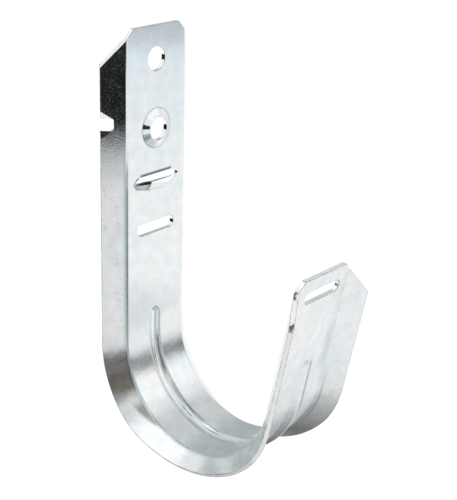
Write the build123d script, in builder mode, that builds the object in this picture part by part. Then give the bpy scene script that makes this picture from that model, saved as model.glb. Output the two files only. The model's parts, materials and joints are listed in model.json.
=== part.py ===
"""Cable J-hook, stamped and folded from one strip of galvanised sheet steel.

The strip has a flat web and two side flanges that lean away from the cables. It runs down a tall
plate, round a half-circle trough and up a shorter tip that leans outwards.

Frame, in millimetres: the origin is the centre of the upper mounting hole, on the face of the web
that looks at the cables. Z points up, X lies along the cables, and the wall is on the +Y side.
"""

import os
from math import cos, radians, sin

from build123d import *

# Strip
sheet = 1.3
web_width = 22.7
flange_length = 7.1
flange_angle = 38.0
fold_radius = 0.4
corner_cut = 2.6

# Line of the hook, along the web's cable side
plate_above_hole = 9.0
plate_below_hole = 78.8
trough_radius = 25.0
tip_lean = 11.2
tip_length = 39.3

# Flanges drawn in round the lower part of the trough, most at an angle from its start
draw_in = 1.3
draw_in_angle = 98.0
draw_in_half_arc = 42.0

# Mounting holes
upper_hole_diameter = 6.6
lower_hole_diameter = 6.4
lower_hole_drop = 18.9
collar_diameter = 11.0
collar_rim_diameter = 7.2
collar_height = 1.0

# Hood pressed out of the plate below the lower hole, cut open along its top
hood_drop = 32.0
hood_cut_length = 13.6
hood_length = 18.2
hood_end_drop = 1.3
hood_shoulder_length = 15.8
hood_shoulder_drop = 3.0
hood_foot_length = 4.6
hood_width = 4.4
hood_height = 2.4
lip_length = 9.8
lip_width = 0.8
lip_drop = 0.45
slit_edge_radius = 0.5

# Strap slots in the plate and in the tip
slot_length = 14.6
slot_width = 3.4
slot_corner_radius = 1.5
plate_slot_drop = 47.1
tip_slot_drop = 5.6

# Notches in the plate's flanges, with their corners turned back
notch_width = 3.3
notch_depth = 3.6
notch_corner_radius = 0.6
ear_length = 2.1
ear_drop = 0.9
notch_drop = 15.9

# Stiffening bead, pressed outwards round the bend
bead_radius = 2.2
bead_depth = 1.0
bead_on_plate = 5.4
bead_on_tip = 10.5
bead_mouth_radius = 1.6
bead_foot_radius = 0.8

# Sizes that follow from those above
half_web = web_width / 2
flange_reach = flange_length * cos(radians(flange_angle))
flange_depth = flange_length * sin(radians(flange_angle))
trough_arc = 180 - tip_lean
lean = radians(tip_lean)
clear = flange_depth + 2 * sheet
hood_mouth = (
    (hood_cut_length, 0),
    (hood_length, hood_end_drop),
    (lip_length, lip_drop + lip_width / 2),
)

# Planes: x lies along the cables; on a section y points away from them, on a face z points at them
plate_face = Plane.XZ
plate_back = plate_face.offset(-sheet)
plate_top = Plane(origin=(0, 0, plate_above_hole), x_dir=(1, 0, 0), z_dir=(0, -1, 0))
trough_start = Plane(origin=(0, 0, -plate_below_hole), x_dir=(1, 0, 0), z_dir=(0, 0, 1))
tip_direction = Vector(0, -sin(lean), cos(lean))
trough_centre = Vector(0, -trough_radius, -plate_below_hole)
tip_foot = trough_centre + Vector(0, -cos(lean), -sin(lean)) * trough_radius
trough_end = Plane(origin=tip_foot, x_dir=(-1, 0, 0), z_dir=tip_direction)
tip_top = Plane(
    origin=tip_foot + tip_direction * tip_length,
    x_dir=(-1, 0, 0),
    z_dir=(0, cos(lean), sin(lean)),
)
trough_axis = Axis(trough_centre, (-1, 0, 0))


def strip_section(plane):
    """Web and leaning flanges, one sheet thick."""
    with BuildSketch(plane) as section:
        with BuildLine():
            FilletPolyline(
                (-half_web - flange_reach, flange_depth),
                (-half_web, 0),
                (half_web, 0),
                (half_web + flange_reach, flange_depth),
                radius=fold_radius + sheet,
            )
            offset(amount=sheet, side=Side.LEFT)
        make_face()
    return section.sketch


def end_corners(plane):
    """The two corners cut off an end of the strip at 45 degrees, seen square to the web."""
    with BuildSketch(plane) as corners:
        with BuildLine():
            Polyline(
                (half_web - corner_cut - clear, clear),
                (half_web, -corner_cut),
                (half_web + flange_reach, -corner_cut - flange_length),
                (half_web + flange_reach + clear, -corner_cut - flange_length),
                (half_web + flange_reach + clear, clear),
                close=True,
            )
        make_face()
        mirror(about=Plane.YZ)
    return corners.sketch


def flange_trim():
    """Ring that narrows both flanges, about a centre set off so that it runs out at both ends."""
    middle = radians(draw_in_angle)
    begin = radians(draw_in_angle - draw_in_half_arc)
    lean_back = radians(flange_angle)
    set_off = draw_in / sin(lean_back) / (1 - cos(radians(draw_in_half_arc)))
    edge = (
        half_web + flange_reach - draw_in * cos(lean_back),
        trough_radius + flange_depth - draw_in * sin(lean_back) + set_off,
    )
    centre = trough_centre + Vector(0, -cos(middle), sin(middle)) * set_off
    with BuildPart() as ring:
        with BuildSketch(Plane(origin=centre, x_dir=(1, 0, 0), z_dir=(0, sin(begin), cos(begin)))):
            with Locations(edge):
                Rectangle(clear, 2 * clear, rotation=flange_angle, align=(Align.MIN, Align.CENTER))
            mirror(about=Plane.YZ)
        revolve(axis=Axis(centre, (-1, 0, 0)), revolution_arc=2 * draw_in_half_arc)
    return ring.part


def flange_plane(face, drop):
    """Cable side of a flange: the origin is on its free edge, x points at the fold."""
    edge = face.from_local_coords(Vector(half_web + flange_reach, -drop, -flange_depth))
    fold = face.from_local_coords(Vector(half_web, -drop, 0))
    inward = fold - edge
    return Plane(origin=edge, x_dir=inward, z_dir=face.y_dir.cross(inward))


def notch(plane):
    """Notch from the free edge inwards, with the corner triangles beside it, through one flange."""
    with BuildPart() as cut:
        with BuildSketch(plane):
            RectangleRounded(2 * notch_depth, notch_width, notch_corner_radius)
            with BuildLine():
                Polyline(
                    (-sheet, 0),
                    (notch_depth - notch_corner_radius, 0),
                    (notch_depth - notch_corner_radius, notch_width / 2),
                    (0, notch_width / 2 + ear_length),
                    (-sheet, notch_width / 2 + ear_length),
                    close=True,
                )
            make_face()
            mirror(about=Plane.XZ)
        extrude(amount=clear, both=True)
        mirror(about=Plane.YZ)
    return cut.part


def notch_ears(plane):
    """The corners beside the notch, turned back about their slanting creases, on both flanges."""
    crease_start = plane.from_local_coords(Vector(0, notch_width / 2 + ear_length, 0))
    crease_end = plane.from_local_coords(Vector(notch_depth - notch_corner_radius, notch_width / 2, 0))
    corner = plane.from_local_coords(Vector(0, notch_width / 2, -ear_drop))
    along = crease_end - crease_start
    ear_plane = Plane(origin=crease_start, x_dir=along, z_dir=along.cross(corner - crease_start))
    with BuildPart() as ears:
        with BuildSketch(ear_plane):
            with BuildLine():
                Polyline(
                    ear_plane.to_local_coords(crease_start),
                    ear_plane.to_local_coords(crease_end),
                    ear_plane.to_local_coords(corner),
                    close=True,
                )
            make_face()
        extrude(amount=sheet)
        mirror(about=Plane(origin=plane.origin, x_dir=plane.x_dir, z_dir=plane.y_dir))
        mirror(about=Plane.YZ)
    return ears.part


def hood_outline(plane, corners):
    """Outline that hangs below the hood's cut edge: each corner is a length and a drop, on both sides."""
    right = [(length / 2, -hood_drop - drop) for length, drop in corners]
    left = [(-x, y) for x, y in reversed(right)]
    with BuildSketch(plane) as outline:
        with BuildLine():
            Polyline(*right, *left, close=True)
        make_face()
    return outline.sketch


def hood(base):
    """Hood that rises with flat facets from a boat-shaped foot on the plate to a narrow lip."""
    foot = (
        (hood_cut_length, 0),
        (hood_length, hood_end_drop),
        (hood_shoulder_length, hood_shoulder_drop),
        (hood_foot_length, hood_width),
    )
    lip = (
        (lip_length - lip_width, lip_drop),
        (lip_length, lip_drop + lip_width / 3),
        (lip_length, lip_drop + 2 * lip_width / 3),
        (lip_length - lip_width, lip_drop + lip_width),
    )
    with BuildPart() as form:
        loft([hood_outline(base, foot), hood_outline(base.offset(hood_height), lip)], ruled=True)
    return form.part


def collar(base):
    """Low cone round the lower hole."""
    with BuildPart() as cone:
        with Locations(base.location * Location((0, -lower_hole_drop, 0))):
            Cone(
                collar_diameter / 2,
                collar_rim_diameter / 2,
                collar_height,
                align=(Align.CENTER, Align.CENTER, Align.MIN),
            )
    return cone.part


def bead_section(plane, radius, keep_from):
    """Segment of a circle about the bead's own line, kept from a height in the sheet outwards."""
    with BuildSketch(plane) as section:
        with Locations((0, bead_depth - bead_radius)):
            Circle(radius)
        with Locations((0, keep_from)):
            Rectangle(2 * radius, 2 * radius, align=(Align.CENTER, Align.MAX), mode=Mode.SUBTRACT)
    return section.sketch


def bead_cap(plane, radius, keep_from):
    """Right half of the bead's section, which turns into its round end."""
    with BuildSketch(plane) as half:
        with Locations((0, bead_depth - bead_radius)):
            Circle(radius)
            Rectangle(radius, 2 * radius, align=(Align.MAX, Align.CENTER), mode=Mode.SUBTRACT)
        with Locations((0, keep_from)):
            Rectangle(2 * radius, 2 * radius, align=(Align.CENTER, Align.MAX), mode=Mode.SUBTRACT)
    return half.sketch


def bead(radius, keep_from):
    """Round-ended run of the bead's section down the plate, round the trough and up the tip."""
    plate_end = trough_start.offset(bead_on_plate)
    tip_end = trough_end.offset(bead_on_tip)
    with BuildPart() as run:
        extrude(bead_section(trough_start, radius, keep_from), amount=bead_on_plate)
        revolve(bead_section(trough_start, radius, keep_from), trough_axis, trough_arc)
        extrude(bead_section(trough_end, radius, keep_from), amount=bead_on_tip)
        for end in (plate_end, tip_end):
            revolve(bead_cap(end, radius, keep_from), Axis(end.origin, end.y_dir))
    return run.part


os.makedirs("parts", exist_ok=True)
with BuildPart() as hook:
    # Folded strip: plate, trough and tip
    extrude(strip_section(trough_start), amount=plate_below_hole + plate_above_hole)
    revolve(strip_section(trough_start), trough_axis, trough_arc)
    extrude(strip_section(trough_end), amount=tip_length)
    for top in (plate_top, tip_top):
        extrude(end_corners(top), amount=clear, both=True, mode=Mode.SUBTRACT)
    add(flange_trim(), mode=Mode.SUBTRACT)

    # Pressed forms, each raised on one side of the sheet and hollow on the other
    add(bead(bead_radius + sheet, sheet / 2))
    fillet(hook.edges(Select.NEW), bead_foot_radius)
    add(bead(bead_radius, -2 * bead_radius), mode=Mode.SUBTRACT)
    fillet(hook.edges(Select.NEW), bead_mouth_radius)
    add(hood(plate_face))
    add(hood(plate_back), mode=Mode.SUBTRACT)
    extrude(hood_outline(plate_face, hood_mouth), amount=clear, both=True, mode=Mode.SUBTRACT)
    slit_edge = hook.edges().sort_by_distance(Vector(0, 0, -hood_drop))[0]
    fillet(slit_edge, slit_edge_radius)
    add(collar(plate_face))
    add(collar(plate_back), mode=Mode.SUBTRACT)

    # Holes and slots
    with BuildSketch(plate_face):
        Circle(upper_hole_diameter / 2)
        with Locations((0, -lower_hole_drop)):
            Circle(lower_hole_diameter / 2)
        with Locations((0, -plate_slot_drop)):
            RectangleRounded(slot_length, slot_width, slot_corner_radius)
    with BuildSketch(tip_top):
        with Locations((0, -tip_slot_drop)):
            RectangleRounded(slot_length, slot_width, slot_corner_radius)
    extrude(amount=clear, both=True, mode=Mode.SUBTRACT)

    # Notches in the plate's flanges
    add(notch(flange_plane(plate_face, notch_drop)), mode=Mode.SUBTRACT)
    add(notch_ears(flange_plane(plate_face, notch_drop)))

hook.part.label = "j_hook"
export_step(hook.part, "parts/j_hook.step")
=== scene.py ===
# %% [markdown]
# # A galvanised cable hook, dressed for a studio picture
#
# The hook is one strip of galvanised sheet steel: a tall plate, a half-round trough and a shorter tip.
# Its exact solid comes from the CAD frame. This lesson softens the edges of that solid, gives it a zinc
# finish, and sets it before a camera in white surroundings, among a few cards and mats that give the
# bright metal something to mirror. Lengths are in metres, and the frame's origin is the centre of the
# upper mounting hole.

import json
from math import atan2, cos, pi, radians, sin, tan

import bpy
from mathutils import Matrix, Vector
from mathutils.bvhtree import BVHTree

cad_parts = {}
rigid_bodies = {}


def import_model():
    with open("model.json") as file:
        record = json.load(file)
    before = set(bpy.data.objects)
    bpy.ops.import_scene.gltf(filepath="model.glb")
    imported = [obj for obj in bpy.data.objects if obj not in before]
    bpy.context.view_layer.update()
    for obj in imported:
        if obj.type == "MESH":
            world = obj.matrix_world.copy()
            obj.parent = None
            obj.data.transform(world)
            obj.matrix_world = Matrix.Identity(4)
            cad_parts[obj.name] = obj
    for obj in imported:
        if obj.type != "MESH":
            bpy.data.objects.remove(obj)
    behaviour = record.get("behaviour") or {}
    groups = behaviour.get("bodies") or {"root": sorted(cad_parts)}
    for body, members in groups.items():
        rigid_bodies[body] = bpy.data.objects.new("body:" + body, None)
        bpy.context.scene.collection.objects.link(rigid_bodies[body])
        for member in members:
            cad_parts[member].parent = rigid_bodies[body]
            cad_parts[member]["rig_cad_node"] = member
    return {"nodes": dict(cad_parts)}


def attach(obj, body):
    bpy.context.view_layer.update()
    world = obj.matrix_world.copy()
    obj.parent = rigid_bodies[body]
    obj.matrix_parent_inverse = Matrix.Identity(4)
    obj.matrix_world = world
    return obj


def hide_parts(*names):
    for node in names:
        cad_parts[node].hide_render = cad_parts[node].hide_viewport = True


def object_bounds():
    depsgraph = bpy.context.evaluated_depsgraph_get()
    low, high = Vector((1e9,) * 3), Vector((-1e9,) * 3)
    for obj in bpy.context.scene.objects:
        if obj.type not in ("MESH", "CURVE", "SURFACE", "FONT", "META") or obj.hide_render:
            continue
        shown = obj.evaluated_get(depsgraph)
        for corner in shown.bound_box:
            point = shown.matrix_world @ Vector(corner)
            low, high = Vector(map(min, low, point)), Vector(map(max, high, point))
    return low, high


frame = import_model()
solid = frame["nodes"]["j_hook"]
cad_low, cad_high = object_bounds()
print("hook from", [round(x, 4) for x in cad_low], "to", [round(x, 4) for x in cad_high])

# %% [markdown]
# ## The camera
#
# A camera could be placed by eye, but the object's proportions only come out right from the place where
# the picture was taken. So the camera is given by the angle it looks from, its distance and its focal
# length in pixels of a picture 457 wide and 500 high. Blender's sensor size belongs to the longer side,
# which here is the height.

# %% Place the camera
picture_height = 500
focal_length_in_pixels = 1284.8
camera_azimuth = radians(-50.92)
camera_elevation = radians(20.56)
camera_roll = radians(1.553)
camera_distance = 0.34227
camera_target = Vector((0, -0.026347, -0.047498))
nearest_seen = 0.01

look = Vector((
    -sin(camera_azimuth) * cos(camera_elevation),
    cos(camera_azimuth) * cos(camera_elevation),
    -sin(camera_elevation),
))
level = Vector((cos(camera_azimuth), sin(camera_azimuth), 0))
upright = level.cross(look)
right = level * cos(camera_roll) + upright * sin(camera_roll)
above = upright * cos(camera_roll) - level * sin(camera_roll)

bpy.ops.object.camera_add()
camera = bpy.context.active_object
camera.matrix_world = Matrix.Translation(camera_target - look * camera_distance) @ Matrix(
    (right, above, -look)
).transposed().to_4x4()
camera.data.lens = focal_length_in_pixels * camera.data.sensor_width / picture_height
camera.data.clip_start = nearest_seen
bpy.context.scene.camera = camera
bpy.context.scene.view_settings.view_transform = "Standard"
print("lens", round(camera.data.lens, 1), "mm, camera at", [round(x, 3) for x in camera.location])

# %% [markdown]
# ## The sheet and its edges
#
# A sheared edge is never perfectly sharp: the punch rolls one side over and the zinc rounds the rest.
# The rounding could be faked in the shader, but a real bevel also shows in the outline and in the mesh
# that others will use. The CAD mesh is loose triangles, so a copy is merged first, and its flat faces
# lose their inner edges.

# %% Copy the solid and merge its triangles
merge_distance = 2e-6
flat_angle = radians(0.2)

bpy.ops.object.select_all(action="DESELECT")
bpy.context.view_layer.objects.active = solid
solid.select_set(True)
bpy.ops.object.duplicate()
hook = bpy.context.active_object
hook.name = "hook_sheet"
del hook["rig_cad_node"]
bpy.ops.mesh.customdata_custom_splitnormals_clear()
bpy.ops.object.mode_set(mode="EDIT")
bpy.ops.mesh.select_all(action="SELECT")
bpy.ops.mesh.remove_doubles(threshold=merge_distance)
bpy.ops.mesh.dissolve_limited(angle_limit=flat_angle)
bpy.ops.object.mode_set(mode="OBJECT")
print("merged sheet:", len(hook.data.vertices), "corners,", len(hook.data.polygons), "faces")

# %% [markdown]
# A Bevel modifier could take every sharp edge at once, but its overlap limit lets the shortest edge of
# the mesh set the width for all, and that leaves a rounding too small to see. So the sharp edges are
# selected, and those round the hood, the notches and the back of the slot's ends, where the mesh is
# finest, are left out by their place.

# %% Pick the sheared edges
sheared_angle = radians(40)
crowded_boxes = {
    "hood": ((0, -0.003, -0.0365), (0.0105, 0.0015, -0.03)),
    "notch": ((0.0134, 0, -0.02), (0.018, 0.008, -0.0115)),
    "back of the slot's ends": ((0.0066, 0.0012, -0.0487), (0.008, 0.0015, -0.0454)),
}


def is_crowded(point):
    """Whether a point, or its mirror image, lies where the mesh is too fine for the rounding."""
    near = (abs(point.x), point.y, point.z)
    return any(
        all(low[axis] <= near[axis] <= high[axis] for axis in range(3))
        for low, high in crowded_boxes.values()
    )


bpy.ops.object.mode_set(mode="EDIT")
bpy.ops.mesh.select_mode(type="EDGE")
bpy.ops.mesh.select_all(action="DESELECT")
bpy.ops.mesh.edges_select_sharp(sharpness=sheared_angle)
bpy.ops.object.mode_set(mode="OBJECT")
for edge in hook.data.edges:
    ends = [hook.data.vertices[index].co for index in edge.vertices]
    if is_crowded((ends[0] + ends[1]) / 2):
        edge.select = False
print(sum(edge.select for edge in hook.data.edges), "edges to soften")

# %% [markdown]
# The new faces of the bevel are the rims that get rubbed bare. They could be searched for afterwards by
# their size, but the bevel can put them in a material slot of their own. That slot becomes an
# attribute, which the finish reads later. Weighted normals then keep the flat faces flat.

# %% Soften the edges and remember the rims
edge_rounding = 0.00012
rounding_steps = 4
fold_limit = radians(24)
rim_slot = 1

hook.data.materials.clear()
hook.data.materials.append(None)
hook.data.materials.append(None)
bpy.ops.object.mode_set(mode="EDIT")
bpy.ops.mesh.bevel(
    offset=edge_rounding,
    segments=rounding_steps,
    affect="EDGES",
    clamp_overlap=False,
    material=rim_slot,
)
bpy.ops.object.mode_set(mode="OBJECT")
bpy.ops.object.shade_smooth_by_angle(angle=fold_limit)
weights = hook.modifiers.new("flat faces", "WEIGHTED_NORMAL")
weights.keep_sharp = True
bpy.ops.object.modifier_apply(modifier=weights.name)

rims = hook.data.attributes.new("rim", "FLOAT", "FACE")
for face in hook.data.polygons:
    rims.data[face.index].value = face.material_index == rim_slot
    face.material_index = 0
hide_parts("j_hook")
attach(hook, "root")
print("softened sheet:", len(hook.data.polygons), "faces")

# %% [markdown]
# ## Where a point lies on the strip
#
# Rolling marks and creases follow the strip down the plate, round the trough and up the tip, so they
# need coordinates that bend with it. They could come from an unwrap, but the strip's line is known: a
# straight plate, an arc and a straight tip. So a UV map is worked out from each corner's place: across
# the strip from its middle, and along it from the trough's start.

# %% Unroll the strip into a UV map
trough_radius = 0.025
trough_drop = 0.0788
tip_lean = radians(11.2)

trough_centre = Vector((0, -trough_radius, -trough_drop))
trough_end = radians(180) - tip_lean
tip_direction = Vector((0, -sin(tip_lean), cos(tip_lean)))


def along_strip(point):
    """Distance along the strip, less than nothing up the plate and nothing where the trough starts."""
    arm = point - trough_centre
    turn = atan2(-arm.z, arm.y)
    if arm.z > 0 and arm.y > 0:
        return -arm.z
    if 0 <= turn <= trough_end:
        return trough_radius * turn
    return trough_radius * trough_end + arm.dot(tip_direction)


strip = hook.data.uv_layers.new(name="strip")
for loop in hook.data.loops:
    corner = hook.data.vertices[loop.vertex_index].co
    strip.data[loop.index].uv = (corner.x, along_strip(corner))
lengths = [corner.uv[1] for corner in strip.data]
print("strip runs from", round(min(lengths), 4), "to", round(max(lengths), 4))

# %% [markdown]
# ## The sheared faces
#
# Faces that were cut have no rolled zinc, so they look different. They could be picked by hand, but a
# ray finds them too: straight behind a rolled face lies the other side of the sheet, one thickness away
# and turned against it, and behind a sheared face the sheet goes on. Each face is tested triangle by
# triangle, and most of its area decides.

# %% Mark the sheared faces
sheet = 0.0013
start_inside = 0.00005
least_depth = 0.6 * sheet
most_depth = 1.6 * sheet
least_opposition = 0.6
least_rolled_share = 0.5

tree = BVHTree.FromObject(hook, bpy.context.evaluated_depsgraph_get())
rolled_area = [0.0] * len(hook.data.polygons)
hook.data.calc_loop_triangles()
for triangle in hook.data.loop_triangles:
    corners = [hook.data.vertices[index].co for index in triangle.vertices]
    begin = sum(corners, Vector()) / 3 - triangle.normal * start_inside
    found, far_normal, _, depth = tree.ray_cast(begin, -triangle.normal)
    if found is None or far_normal.dot(triangle.normal) > -least_opposition:
        continue
    if least_depth < depth < most_depth:
        rolled_area[triangle.polygon_index] += triangle.area

sheared = hook.data.attributes.new("sheared", "FLOAT", "FACE")
for face in hook.data.polygons:
    sheared.data[face.index].value = rolled_area[face.index] < least_rolled_share * face.area
print(sum(int(face.value) for face in sheared.data), "sheared faces of", len(hook.data.polygons))

# %% [markdown]
# ## Shader maths that reads like Python
#
# A finish is a long chain of small nodes. They could be placed one by one, but then the idea gets lost
# in wiring. So one small class stands for a socket: plus, minus and times on it add Math nodes, and one
# method adds any other node.

# %% A socket that can be used in expressions
class Wire:
    """An output socket, or only a node tree, from which expressions and further nodes are made."""

    def __init__(self, tree, socket=None):
        self.tree = tree
        self.socket = socket

    def node(self, kind, settings, sockets, output=0):
        """Add a node, set it up, then fill its input sockets with numbers, colours or wires."""
        made = self.tree.nodes.new(kind)
        for name, value in settings.items():
            setattr(made, name, value)
        for name, value in sockets.items():
            if isinstance(value, Wire):
                self.tree.links.new(value.socket, made.inputs[name])
            else:
                made.inputs[name].default_value = value
        return Wire(self.tree, made.outputs[output] if made.outputs else None)

    def math(self, operation, first, second):
        """A Math node on two numbers or wires."""
        return self.node("ShaderNodeMath", {"operation": operation}, {0: first, 1: second})

    def __add__(self, other):
        return self.math("ADD", self, other)

    def __sub__(self, other):
        return self.math("SUBTRACT", self, other)

    def __mul__(self, other):
        return self.math("MULTIPLY", self, other)

    def __rsub__(self, other):
        return self.math("SUBTRACT", other, self)

    __radd__ = __add__
    __rmul__ = __mul__


def new_material(name):
    """An empty node material, and a wire from which its nodes are made."""
    material = bpy.data.materials.new(name)
    material.use_nodes = True
    material.node_tree.nodes.clear()
    return material, Wire(material.node_tree)


print("sockets can be added, subtracted and multiplied")

# %% [markdown]
# Marks on the metal are masks: 1 where the mark is and 0 elsewhere, with soft borders. Each could have
# its own colour ramp, but four small functions are enough for all of them: a soft step, a band about a
# value, a stretch from a start to an end, and a mix of two colours.

# %% Soft masks and mixed colours
def ramp(value, low, high):
    """0 below one value and 1 above another, with a soft step between."""
    return value.node(
        "ShaderNodeMapRange",
        {"interpolation_type": "SMOOTHSTEP"},
        {"Value": value, "From Min": low, "From Max": high},
    )


def band(value, middle, core, edge):
    """1 within a core distance of a middle value, and 0 beyond an edge distance."""
    return 1 - ramp(value.math("ABSOLUTE", value - middle, 0), core, edge)


def between(value, starts, ends):
    """1 from a soft start to a soft end, each given by the two values that it lies between."""
    return ramp(value, *starts) * (1 - ramp(value, *ends))


def mixed(share, first, second):
    """A colour between two. The node's colour sockets go by number, because their names repeat."""
    return share.node(
        "ShaderNodeMix",
        {"data_type": "RGBA"},
        {"Factor": share, 6: first, 7: second},
        2,
    )


print("masks and colours can be mixed")

# %% [markdown]
# ## The zinc finish
#
# Bright galvanised steel is a pale metal, a little blue, that mirrors its surroundings through a fine
# unevenness. A picture of it could be wrapped round the strip, but noise on the piece's own coordinates
# has no seams and no end. The finish is built in layers. First come the coordinates and a noise of a
# given size.

# %% Coordinates for the finish
working_starts = (-0.008, 0.004)
noise_middle = 0.5

zinc, start = new_material("galvanised_steel")
place = start.node("ShaderNodeTexCoord", {}, {}, "Object")
unrolled = start.node("ShaderNodeUVMap", {"uv_map": "strip"}, {})
across = start.node("ShaderNodeSeparateXYZ", {}, {"Vector": unrolled}, "X")
along = start.node("ShaderNodeSeparateXYZ", {}, {"Vector": unrolled}, "Y")
from_middle = start.math("ABSOLUTE", across, 0)
depth_out = -1 * start.node("ShaderNodeSeparateXYZ", {}, {"Vector": place}, "Y")
worked = ramp(along, *working_starts)


def noise(where, size, detail):
    """Soft noise round its middle value, with blots of about a size."""
    return start.node("ShaderNodeTexNoise", {}, {"Vector": where, "Scale": 1 / size, "Detail": detail})


print("finish begun with", len(zinc.node_tree.nodes), "nodes")

# %% [markdown]
# ### Spangle
#
# Zinc freezes in patches, cooler here and warmer there, and the lower plate is warmer as a whole. The
# patches could be cells with hard borders, as on old buckets, but this bright kind has soft clouds, so
# soft noise of three sizes does it.

# %% Spangle
cool_zinc = (0.70, 0.785, 0.825, 1)
warm_zinc = (0.80, 0.81, 0.81, 1)
cloud_size = 0.011
wisp_size = 0.0032
grain_size = 0.0005
cloud_contrast = 1.8
least_warmth = -0.8
warmth_below = 0.6
warmer_plate = (-0.085, -0.045)

clouds = noise(place, cloud_size, detail=3)
wisps = noise(place, wisp_size, detail=4)
grain = noise(place, grain_size, detail=4)
warmth = cloud_contrast * clouds + least_warmth + warmth_below * ramp(along, *warmer_plate)
spangled = mixed(warmth, cool_zinc, warm_zinc)
print("spangle made,", len(zinc.node_tree.nodes), "nodes")

# %% [markdown]
# ### Rolling lines and pits
#
# The mill leaves fine lines along the strip, and the plate's flanges have small pits and dull specks.
# Lines could be drawn one by one, but noise that is stretched along the strip gives them all. Pits and
# specks are the peaks of finer noise, kept to the flanges.

# %% Rolling lines and pits
line_width = 0.0005
line_length = 0.012
flange_starts = (0.0118, 0.0125)
pit_size = 0.0011
pit_peaks = (0.6, 0.68)
speck_size = 0.0005
speck_peaks = (0.5, 0.7)

lined_place = start.node(
    "ShaderNodeVectorMath",
    {"operation": "MULTIPLY"},
    {0: unrolled, 1: (1 / line_width, 1 / line_length, 1)},
)
rolled = noise(lined_place, 1, detail=2)
on_plate_flange = ramp(from_middle, *flange_starts) * (1 - worked)
pits = ramp(noise(place, pit_size, detail=4), *pit_peaks) * on_plate_flange
specks = ramp(noise(place, speck_size, detail=2), *speck_peaks) * on_plate_flange
print("lines and pits made,", len(zinc.node_tree.nodes), "nodes")

# %% [markdown]
# ### Painted shade in the creases along the strip
#
# The sheet's creases get painted shade, narrow darker lines along the near fold, beside the bead, along
# the tip's folds and at the bead's foot on the tip. All could be painted by hand, but each follows a
# known line of the strip, so each is a narrow band beside that line, from a soft start to a soft end.

# %% Painted shade in the creases along the strip
half_web = 0.01135
fold_place = half_web + 0.0001
fold_width = 0.001
fold_starts = (-0.058, -0.045)
crease_width = 0.0004
bead_half_width = 0.0022
bead_starts = (-0.007, -0.005)
tip_starts = (0.045, 0.06)
tip_fold_starts = (0.058, 0.066)
tip_fold_ends = (0.07, 0.082)
bead_foot_place = 0.0029
bead_foot_width = 0.0006
bead_foot_starts = (0.066, 0.07)
bead_foot_ends = (0.084, 0.087)

near_side = ramp(-1 * across, 0, half_web)
far_side = ramp(across, 0, bead_half_width)
before_tip = 1 - ramp(along, *tip_starts)
# fold, bead_sides, tip_fold and bead_foot are masks of painted shade in the creases.
fold = band(from_middle, fold_place, 0, fold_width) * near_side * ramp(along, *fold_starts)
bead_sides = band(from_middle, bead_half_width, 0, crease_width) * ramp(along, *bead_starts)
tip_fold = band(from_middle, half_web, 0, crease_width) * between(along, tip_fold_starts, tip_fold_ends)
bead_foot = band(from_middle, bead_foot_place, 0, bead_foot_width) * far_side
bead_foot = bead_foot * between(along, bead_foot_starts, bead_foot_ends)
print("creases along the strip made,", len(zinc.node_tree.nodes), "nodes")

# %% [markdown]
# ### Painted shade round the pressed forms
#
# Painted shade also darkens the collar's foot, the bead's far flank in the trough and a streak on the tip
# beside its far fold. The slit's edge gets a darker painted shadow still, but on the front only, so depth
# limits it. The collar could have a ring of its own in the mesh, but the distance from its middle on the
# unrolled strip gives the same ring.

# %% Painted shade round the pressed forms
collar_drop = 0.0189
collar_place = collar_drop - trough_drop
collar_radius = 0.0055
slit_drop = 0.0316
slit_place = slit_drop - trough_drop
slit_widths = (0.0003, 0.0008)
slit_ends = (0.0055, 0.0068)
front_depth = (-0.0009, -0.0004)
bead_flank_place = 0.0018
bead_flank_widths = (0.0003, 0.0009)
bead_flank_starts = (0.014, 0.019)
bead_flank_ends = (0.03, 0.034)
streak_across = 0.0083
streak_along = 0.088
streak_width = 0.0026
streak_lengths = (0.003, 0.01)

collar_arm = start.node(
    "ShaderNodeVectorMath",
    {"operation": "SUBTRACT"},
    {0: unrolled, 1: (0, collar_place, 0)},
)
from_collar = start.node("ShaderNodeVectorMath", {"operation": "LENGTH"}, {0: collar_arm}, "Value")
# Masks of painted shade: a ring at the collar's foot, a shadow line along the slit, a band on the bead's
# flank and a streak on the tip.
collar_ring_shade = band(from_collar, collar_radius, 0, crease_width)
slit_shadow = band(along, slit_place, *slit_widths) * (1 - ramp(from_middle, *slit_ends))
slit_shadow = slit_shadow * ramp(depth_out, *front_depth)
bead_flank_shade = band(across, bead_flank_place, *bead_flank_widths)
bead_flank_shade = bead_flank_shade * between(along, bead_flank_starts, bead_flank_ends)
tip_shade_streak = band(across, streak_across, 0, streak_width) * band(along, streak_along, *streak_lengths)
print("creases round the pressed forms made,", len(zinc.node_tree.nodes), "nodes")

# %% [markdown]
# The painted shade is not equally strong in every crease. Each could have a colour of its own, but it is
# all the same shade, so one colour does, and each mask has a strength. Only the painted shadow along the
# slit has its own, darker colour.

# %% Colour of the painted crease shade
# Colours of painted shade: one for the creases, and a darker one for the shadow along the slit.
crease_shade_zinc = (0.36, 0.43, 0.45, 1)
slit_shadow_grey = (0.17, 0.20, 0.20, 1)
fold_strength = 0.95
fold_loss_in_trough = 0.4
bead_side_strength = 0.35
tip_fold_strength = 0.8
bead_foot_strength = 1.4
collar_ring_shade_strength = 0.7
tip_streak_strength = 0.3
bead_flank_shade_strength = 0.9

long_creases = fold * (fold_strength - fold_loss_in_trough * worked) + bead_side_strength * bead_sides
tip_creases = tip_fold_strength * tip_fold + bead_foot_strength * bead_foot + tip_streak_strength * tip_shade_streak
form_creases = collar_ring_shade_strength * collar_ring_shade + bead_flank_shade_strength * bead_flank_shade
creases = long_creases * before_tip + tip_creases + form_creases
crease_shaded_colour = mixed(slit_shadow, mixed(creases, spangled, crease_shade_zinc), slit_shadow_grey)
print("creases coloured,", len(zinc.node_tree.nodes), "nodes")

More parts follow.
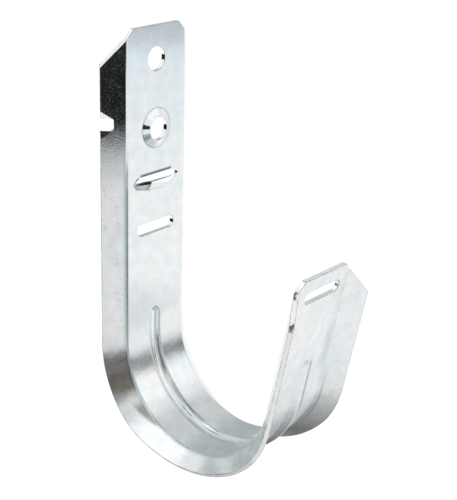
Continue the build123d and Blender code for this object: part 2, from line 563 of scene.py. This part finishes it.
# %% [markdown]
# ### A painted dark reflection along the fold
#
# At the lower bend a brown dark reflection is painted on the near flange, wide at its top and running out
# in a point along the fold. It could be one more soft band, but a band has parallel sides, so its outer
# side is a slope.

# %% The painted dark reflection
# Painted reflection: the brown dark tail of the near flange's reflection along the fold.
reflection_brown = (0.24, 0.235, 0.22, 1)
mark_strength = 0.8
mark_starts = (0.016, 0.02)
mark_end = 0.0265
mark_ends = (mark_end - 0.002, mark_end + 0.001)
mark_inner_side = (0.0115, 0.0119)
mark_point = 0.0121
mark_slope = 0.22
mark_border = (-0.0004, 0.0006)

outer_side = mark_point + mark_slope * (mark_end - along)
dark_reflection = ramp(outer_side - from_middle, *mark_border) * ramp(from_middle, *mark_inner_side) * near_side
dark_reflection = dark_reflection * between(along, mark_starts, mark_ends)
rolled_colour = mixed(mark_strength * dark_reflection, crease_shaded_colour, reflection_brown)
print("draw mark made,", len(zinc.node_tree.nodes), "nodes")

# %% [markdown]
# ### Cut faces and rims
#
# The shears leave bright bare steel, with a burnt smudge where the tool dragged, at the ends of the
# tip's cut corners. The rims are rubbed darker, unevenly. Both could be materials of their own, but the
# two attributes from above already say where they are, so one finish holds all.

# %% Cut faces and rims
bare_steel = (0.90, 0.90, 0.89, 1)
# This near black is the real smudge on the tip's cut corners, and also the painted shadow at the hood's
# lip.
burnt_steel_and_hood_shadow = (0.03, 0.024, 0.018, 1)
rubbed_zinc = (0.28, 0.29, 0.30, 1)
tip_corner_sides = (0.0105, 0.0115)
tip_corner_starts = (0.1025, 0.1035)
tip_corner_middle = 0.107
clean_lengths = (0.0017, 0.0023)
smudge_strength = 0.85
smudge_size = 0.0012
smudge_peaks = (0.4, 0.55)
least_rubbed = 0.4
rub_size = 0.0015
rub_peaks = (0.42, 0.58)

cut = start.node("ShaderNodeAttribute", {"attribute_name": "sheared"}, {}, "Fac")
rim = start.node("ShaderNodeAttribute", {"attribute_name": "rim"}, {}, "Fac")
tip_corner = ramp(from_middle, *tip_corner_sides) * ramp(along, *tip_corner_starts)
corner_ends = 1 - band(along, tip_corner_middle, *clean_lengths)
smudge = tip_corner * corner_ends * ramp(noise(place, smudge_size, detail=3), *smudge_peaks)
rub = ramp(noise(place, rub_size, detail=3), *rub_peaks)
rubbed = rim * (least_rubbed + (1 - least_rubbed) * rub)

cut_colour = mixed(smudge_strength * smudge, bare_steel, burnt_steel_and_hood_shadow)
sheet_colour = mixed(rubbed, mixed(cut, rolled_colour, cut_colour), rubbed_zinc)
print("cut faces and rims made,", len(zinc.node_tree.nodes), "nodes")

# %% [markdown]
# ### The hood's painted light and shade
#
# The hood gets a painted highlight, a paler zinc, and painted shade: darker cut faces, a near black
# shadow at the near end of its lip and a dark line along the crease at that end. The hood stands out from
# the plate, so depth and height pick it. Its own material could do this too, but the sheet is one piece.

# %% The hood's painted light and shade
# Painted light and shade on the hood: a paler zinc as a highlight, darker cut faces and a near black lip.
hood_highlight_zinc = (0.93, 0.95, 0.96, 1)
hood_cut_shade_grey = (0.25, 0.25, 0.25, 1)
hood_depth = (0.0003, 0.0006)
hood_middle = slit_place + 0.0029
hood_heights = (0.0018, 0.002)
shaded_end_starts = (0.0042, 0.0047)
shaded_end_stops = (0.0085, 0.009)
lip_top = (slit_place + 0.0018, slit_place + 0.0021)
hood_crease_place = -0.0044
hood_crease_widths = (0.0001, 0.0004)
hood_crease_shade_strength = 0.7

hood = ramp(depth_out, *hood_depth) * band(along, hood_middle, *hood_heights)
shaded_hood_end = ramp(-1 * across, *shaded_end_starts) * (1 - ramp(from_middle, *shaded_end_stops))
lip_shadow = shaded_hood_end * (1 - ramp(along, *lip_top))
hood_crease_shade = hood_crease_shade_strength * band(across, hood_crease_place, *hood_crease_widths)
hood_shade = start.math("MAXIMUM", lip_shadow, hood_crease_shade)
hood_colour = mixed(hood_shade, mixed(cut, hood_highlight_zinc, hood_cut_shade_grey), burnt_steel_and_hood_shadow)
colour = mixed(hood, sheet_colour, hood_colour)
print("hood made,", len(zinc.node_tree.nodes), "nodes")

# %% [markdown]
# ### Mottle
#
# No patch of zinc is quite even. A second colour could be mixed in for that, but here the whole colour
# is only made a little lighter or darker by the finer noises from above, so the hue of each layer
# stays.

# %% Mottle
wisp_contrast = 0.3
grain_contrast = 0.15
pit_shade = 0.15

lightness = 1 + wisp_contrast * (wisps - noise_middle) - pit_shade * pits
lightness = lightness + grain_contrast * (grain - noise_middle)
mottled = start.node(
    "ShaderNodeVectorMath",
    {"operation": "SCALE"},
    {0: colour, "Scale": lightness},
)
print("mottle made,", len(zinc.node_tree.nodes), "nodes")

# %% [markdown]
# ### Gloss
#
# The flat plate is nearly a mirror, the bent trough is duller, and the outer cut faces and the bead's
# drawn end are dull all over. One roughness for all would lose that, so it follows the same masks.

# %% Gloss
plate_roughness = 0.07
trough_dullness = 0.15
cut_dullness = 0.05
outer_cut_dullness = 0.25
bead_end_dullness = 0.2
wisp_dullness = 0.08
cloud_dullness = 0.04
speck_dullness = 0.05
tip_end = (0.1118, 0.1128)
plate_end = (-0.0878, -0.0872)
outer_sides = (0.009, 0.0105)
bead_end_place = 0.0855
bead_end_reach = 0.004

strip_ends = ramp(along, *tip_end) + (1 - ramp(along, *plate_end))
outer_cut = cut * start.math("MAXIMUM", strip_ends, ramp(from_middle, *outer_sides))
bead_end = band(along, bead_end_place, 0, bead_end_reach) * band(across, 0, 0, bead_end_reach)
unevenness = wisp_dullness * (wisps - noise_middle) + cloud_dullness * (clouds - noise_middle)
cut_roughness = cut_dullness * cut + outer_cut_dullness * outer_cut
roughness = plate_roughness + trough_dullness * worked + unevenness + speck_dullness * specks
roughness = roughness + cut_roughness + bead_end_dullness * bead_end
print("gloss made,", len(zinc.node_tree.nodes), "nodes")

# %% [markdown]
# ### Relief
#
# The relief could be real, but it is only microns high, far finer than any mesh, so it is a bump. On a
# mirror even that bends every reflection a little, which is what tells sheet metal from glass. The same
# bump also eases the start of the bend.

# %% Relief and the finished shader
bump_height = 0.000005
line_relief = 0.3
trough_line_relief = 0.5
trough_wisp_relief = 10
bend_ease = 0.0005
eased_bend = (-0.006, 0.008)

soft_bend = bend_ease / bump_height * ramp(along, *eased_bend)
trough_relief = trough_line_relief * rolled + trough_wisp_relief * wisps
relief = grain + line_relief * rolled + worked * trough_relief + soft_bend
bump = start.node(
    "ShaderNodeBump",
    {},
    {"Strength": 1, "Distance": bump_height, "Height": relief},
    "Normal",
)
shader = start.node(
    "ShaderNodeBsdfPrincipled",
    {},
    {"Base Color": mottled, "Metallic": 1, "Roughness": roughness, "Normal": bump},
)
start.node("ShaderNodeOutputMaterial", {}, {"Surface": shader})
hook.data.materials.clear()
hook.data.materials.append(zinc)
print("zinc finish of", len(zinc.node_tree.nodes), "nodes")

# %% [markdown]
# ## White surroundings
#
# The part is shown on pure white. The background could be lit until it burns out, but that light would
# wash out the metal too. So the world is white by itself to the camera and to reflections, and plainer
# to scattered light.

# %% A white world
scattered_level = 0.7


def seen_directly(wire):
    """1 for rays from the camera, from reflections and through glass, and 0 for scattered light."""
    rays = wire.node("ShaderNodeLightPath", {}, {}, "Is Camera Ray")
    for name in ("Is Glossy Ray", "Is Transmission Ray"):
        rays = wire.math("MAXIMUM", rays, wire.node("ShaderNodeLightPath", {}, {}, name))
    return rays


world = bpy.data.worlds.new("white surroundings")
bpy.context.scene.world = world
world.use_nodes = True
world.node_tree.nodes.clear()
sky = Wire(world.node_tree)
background = sky.node(
    "ShaderNodeBackground",
    {},
    {"Color": (1, 1, 1, 1), "Strength": scattered_level + (1 - scattered_level) * seen_directly(sky)},
)
sky.node("ShaderNodeOutputWorld", {}, {"Surface": background})
print("world of", len(world.node_tree.nodes), "nodes")

# %% [markdown]
# The floor could be plain white paint, but it would turn grey wherever the lamps don't reach. So it has
# a glow of its own, and still takes a share of real light, so that it keeps the object's shadow. Far
# away it darkens a little in reflections, as a studio floor does outside the lamps. It is clear from
# underneath, so that a camera can look up at the hook.

# %% A pale floor
floor_gap = 0.1
floor_size = 6.0
floor_glow = 0.72
floor_falloff = 0.06
falloff_distances = (0.3, 0.9)
floor_paint = (0.5, 0.5, 0.5, 1)
floor_height = cad_low.z - floor_gap

bpy.ops.mesh.primitive_plane_add(size=floor_size, location=(0, 0, floor_height))
floor = bpy.context.active_object
floor.name = "floor"
floor_finish, paint = new_material("pale floor")
spot = paint.node("ShaderNodeTexCoord", {}, {}, "Object")
distance = paint.node("ShaderNodeVectorMath", {"operation": "LENGTH"}, {0: spot}, "Value")
mirrored = 1 - paint.node("ShaderNodeLightPath", {}, {}, "Is Camera Ray")
falloff = floor_falloff * mirrored * ramp(distance, *falloff_distances)
glow = paint.node("ShaderNodeEmission", {}, {"Strength": floor_glow * seen_directly(paint) - falloff})
matt = paint.node("ShaderNodeBsdfDiffuse", {}, {"Color": floor_paint})
both = paint.node("ShaderNodeAddShader", {}, {0: glow, 1: matt})
underneath = paint.node("ShaderNodeNewGeometry", {}, {}, "Backfacing")
see_through = paint.node("ShaderNodeBsdfTransparent", {}, {})
one_sided = paint.node("ShaderNodeMixShader", {}, {"Fac": underneath, 1: both, 2: see_through})
paint.node("ShaderNodeOutputMaterial", {}, {"Surface": one_sided})
floor.data.materials.append(floor_finish)
print("floor", round(-floor_height, 4), "m below the upper hole")

# %% [markdown]
# ## Cards for the metal to mirror
#
# In a plain white room bright metal turns white too, and its folds vanish. Photographers hang dark and
# grey cards round it. Lamps and black flags could do the same by light alone, but cards are easier to
# aim: each is a plain rectangle with soft edges, which only reflections see. Its colour goes from one
# at the bottom to one at the top.

# %% A card with soft edges
def grey(level):
    """The same plain grey for the bottom and the top of a card."""
    return ((level, level, level), (level, level, level))


def card_finish(name, size, colours, soft):
    """A glowing finish that fades to nothing over a soft width at its sides, and at its bottom and top."""
    half_side = 0.5
    finish, wire = new_material(name)
    spot = wire.node("ShaderNodeTexCoord", {}, {}, "Object")
    x = wire.node("ShaderNodeSeparateXYZ", {}, {"Vector": spot}, "X")
    y = wire.node("ShaderNodeSeparateXYZ", {}, {"Vector": spot}, "Y")
    colour = mixed(y + half_side, (*colours[0], 1), (*colours[1], 1))
    shares = [
        band(value, 0, half_side - min(width / side, half_side), half_side)
        for value, width, side in zip((x, y), soft, size)
    ]
    shine = wire.node("ShaderNodeEmission", {}, {"Color": colour})
    clear = wire.node("ShaderNodeBsdfTransparent", {}, {})
    faded = wire.node("ShaderNodeMixShader", {}, {"Fac": shares[0] * shares[1], 1: clear, 2: shine})
    wire.node("ShaderNodeOutputMaterial", {}, {"Surface": faded})
    return finish


def card(name, centre, direction, size, colours, soft):
    """A card at a centre that is square to a direction."""
    bpy.ops.mesh.primitive_plane_add(size=1, location=centre)
    made = bpy.context.active_object
    made.name = name
    made.scale = (*size, 1)
    made.rotation_mode = "QUATERNION"
    made.rotation_quaternion = direction.to_track_quat("Z", "Y")
    made.visible_camera = False
    made.visible_diffuse = False
    made.visible_shadow = False
    made.data.materials.append(card_finish(name, size, colours, soft))
    print("card", name, [round(side, 2) for side in size])


print("cards can be made")

# %% [markdown]
# Cards could be placed by plain coordinates, but what a card does depends on the direction in which the
# metal sees it. So the cards are placed by azimuth and elevation round the middle of the hook. Azimuth
# counts in degrees from the front to the right.

# %% Ways to place a card
stage_centre = Vector((0, -0.02, -0.05))


def towards(azimuth, elevation):
    """Direction from the hook at an azimuth and an elevation."""
    return Vector((
        sin(radians(azimuth)) * cos(radians(elevation)),
        -cos(radians(azimuth)) * cos(radians(elevation)),
        sin(radians(elevation)),
    ))


def span(azimuths, elevations, distance):
    """Middle direction and size of a rectangle between two azimuths and two elevations."""
    elevation = sum(elevations) / 2
    width = distance * radians(azimuths[1] - azimuths[0]) * cos(radians(elevation))
    height = distance * radians(elevations[1] - elevations[0])
    return towards(sum(azimuths) / 2, elevation), (width, height)


def raised_card(name, azimuths, elevations, distance, colours, soft):
    """A tilted card that faces the hook."""
    direction, size = span(azimuths, elevations, distance)
    card(name, stage_centre + distance * direction, direction, size, colours, (soft, soft))


def standing_card(name, azimuths, heights, distance, colours, soft):
    """An upright card between two azimuths and two heights."""
    direction = towards(sum(azimuths) / 2, 0)
    centre = stage_centre + distance * direction
    centre.z = sum(heights) / 2
    width = 2 * distance * tan(radians(azimuths[1] - azimuths[0]) / 2)
    card(name, centre, direction, (width, heights[1] - heights[0]), colours, soft)


def mat(name, place_on_floor, lift, size, level, soft):
    """A card that lies a little above the floor."""
    centre = Vector((*place_on_floor, floor_height + lift))
    card(name, centre, Vector((0, 0, 1)), size, grey(level), (soft, soft))


print("cards are placed round", list(stage_centre))

# %% [markdown]
# ### Two softboxes
#
# Two softboxes add a soft shine: one high on the left for the lower flange, one on the right for the
# trough. A lamp's power could be set in watts, but then a bigger lamp looks dimmer, so the power is
# worked out from how bright the lamp looks and its area.

# %% Two softboxes
def softbox(name, azimuths, elevations, distance, level):
    """An area lamp between two azimuths and two elevations, given by how bright it looks."""
    direction, size = span(azimuths, elevations, distance)
    bpy.ops.object.light_add(type="AREA", location=stage_centre + distance * direction)
    lamp = bpy.context.active_object
    lamp.name = name
    lamp.rotation_mode = "QUATERNION"
    lamp.rotation_quaternion = direction.to_track_quat("Z", "Y")
    lamp.data.shape = "RECTANGLE"
    lamp.data.size, lamp.data.size_y = size
    lamp.data.energy = level * pi * size[0] * size[1]
    print("softbox", name, round(lamp.data.energy, 2), "W")


softbox("softbox_left", azimuths=(-150, -38), elevations=(38, 76), distance=0.7, level=0.3)
softbox("softbox_right", azimuths=(3, 60), elevations=(11, 36), distance=0.8, level=0.2)

# %% [markdown]
# ### Cards above
#
# The trough's floor and the bead look up, and would go white. Less light could prevent that, but it
# would dull the rest too, so a grey card high on the right and a dark ceiling are hung there for them
# to mirror. A small dark card on the left shades the notch.

# %% Cards above
pale_grey = ((0.75, 0.75, 0.75), (0.65, 0.65, 0.65))

raised_card(
    "grey_top", azimuths=(56, 128), elevations=(27, 68), distance=0.75,
    colours=pale_grey, soft=0.15,
)
raised_card(
    "ceiling", azimuths=(-45, 45), elevations=(58, 88), distance=0.6,
    colours=grey(0.03), soft=0.1,
)
raised_card(
    "notch_card", azimuths=(-82, -54), elevations=(20, 38), distance=0.6,
    colours=grey(0.02), soft=0.02,
)

# %% [markdown]
# ### Cards on the left
#
# The near flange turns to the left, so these cards draw it: a black one for the top of the plate, a
# brown one above it for the start of the trough, and a pale skirt below, which keeps the rest of the
# plate light. One big card with a picture on it could do all that, but plain cards are moved one at a
# time. A small one makes the dark glint on the collar, and one far round to the left darkens the walls
# of the holes.

# %% Cards on the left
black = ((0.005, 0.005, 0.005), (0.02, 0.02, 0.02))
brown = ((0.08, 0.062, 0.05), (0.2, 0.165, 0.13))
pale = ((0.85, 0.85, 0.85), (0.45, 0.45, 0.45))

standing_card(
    "black_card", azimuths=(-75, -6), heights=(-0.2, -0.09), distance=0.55,
    colours=black, soft=(0.2, 0.008),
)
standing_card(
    "brown_card", azimuths=(-75, -18), heights=(-0.1, 0.19), distance=0.552,
    colours=brown, soft=(0.02, 0.03),
)
standing_card(
    "skirt", azimuths=(-75, -18), heights=(floor_height, -0.16), distance=0.5,
    colours=pale, soft=(0.1, 0.018),
)
standing_card(
    "collar_card", azimuths=(-16, 2), heights=(-0.12, 0), distance=0.5,
    colours=grey(0.03), soft=(0.01, 0.01),
)
standing_card(
    "left_card", azimuths=(-160, -100), heights=(floor_height - 0.04, 0.085), distance=0.4,
    colours=grey(0.01), soft=(0.04, 0.04),
)

# %% [markdown]
# ### Cards in front and behind, and mats below
#
# The web mirrors what is in front on the right, where a dark band makes the shadow at the start of the
# trough. A grey wall behind shades the backs. The floor could be darker as a whole to shade whatever
# looks down, but it has to stay white in the picture, so mats lie there: for the tip, and most of all
# for the underside of the trough.

# %% Cards in front and behind, and mats below
wall = ((0.45, 0.47, 0.48), (0.6, 0.62, 0.63))

standing_card(
    "horizon", azimuths=(22, 68), heights=(-0.26, 0.11), distance=1.0,
    colours=grey(0.12), soft=(0.2, 0.2),
)
standing_card(
    "back_wall", azimuths=(95, 200), heights=(floor_height, 0.95), distance=0.9,
    colours=wall, soft=(0.15, 0.15),
)
mat("front_mat", (-0.22, -0.33), lift=0.005, size=(0.44, 0.44), level=0.88, soft=0.12)
mat("near_mat", (0.0, -0.12), lift=0.007, size=(0.2, 0.16), level=0.8, soft=0.06)
mat("side_mat", (0.21, -0.21), lift=0.005, size=(0.12, 0.12), level=0.9, soft=0.05)
mat("shaded_mat", (0.035, -0.025), lift=0.01, size=(0.32, 0.32), level=0.18, soft=0.16)
